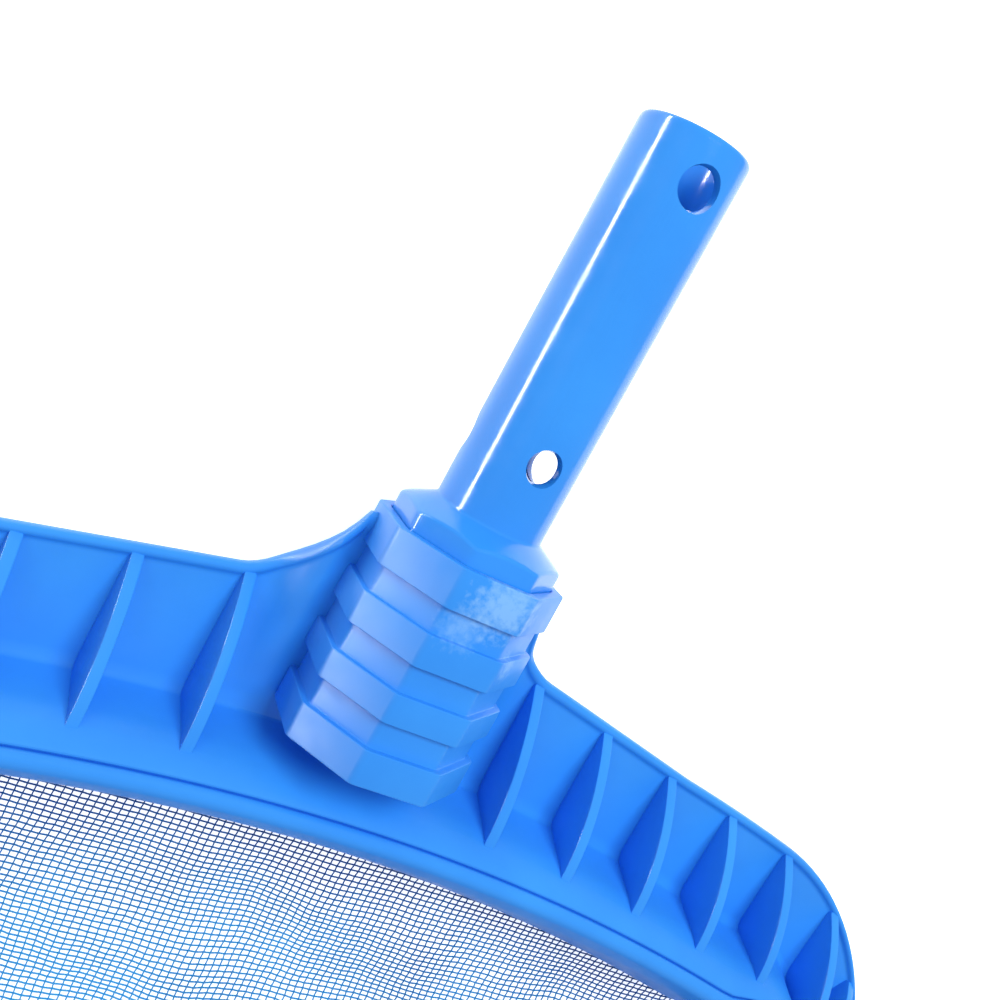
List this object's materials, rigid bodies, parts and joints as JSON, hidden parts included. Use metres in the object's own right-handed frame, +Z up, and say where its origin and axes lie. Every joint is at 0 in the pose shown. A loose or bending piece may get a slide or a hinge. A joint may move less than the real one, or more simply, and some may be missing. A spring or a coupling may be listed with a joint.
{
  "type": "pool leaf skimmer head",
  "caption": "Flat ribbed plastic rim round a shallow fine net, with a front scoop edge and a ringed octagonal socket that holds a raised tube for a pole.",
  "frame": {"origin": "middle of the object's overall length and width, on the ground it lies on", "axes": "+Y runs from the front scoop edge towards the free end of the handle, +X across the rim, +Z up out of the net"},
  "size_m": [0.4098, 0.4556, 0.0885],
  "materials": {
    "rim": "satin moulded blue plastic",
    "handle": "glossy moulded blue plastic",
    "net": "fine woven blue mesh",
    "welt": "matt navy cord edge",
    "screw": "plain stainless steel"
  },
  "bodies": {
    "root": {"rim_frame": "rim", "handle": "handle", "net_clamp_ring": "rim", "net_welt": "welt", "net": "net", "clamp_screw_01": "screw", "clamp_screw_02": "screw", "clamp_screw_03": "screw", "clamp_screw_04": "screw", "clamp_screw_05": "screw", "clamp_screw_06": "screw", "clamp_screw_07": "screw", "clamp_screw_08": "screw", "clamp_screw_09": "screw", "clamp_screw_10": "screw", "clamp_screw_11": "screw", "clamp_screw_12": "screw"}
  },
  "joints": []
}
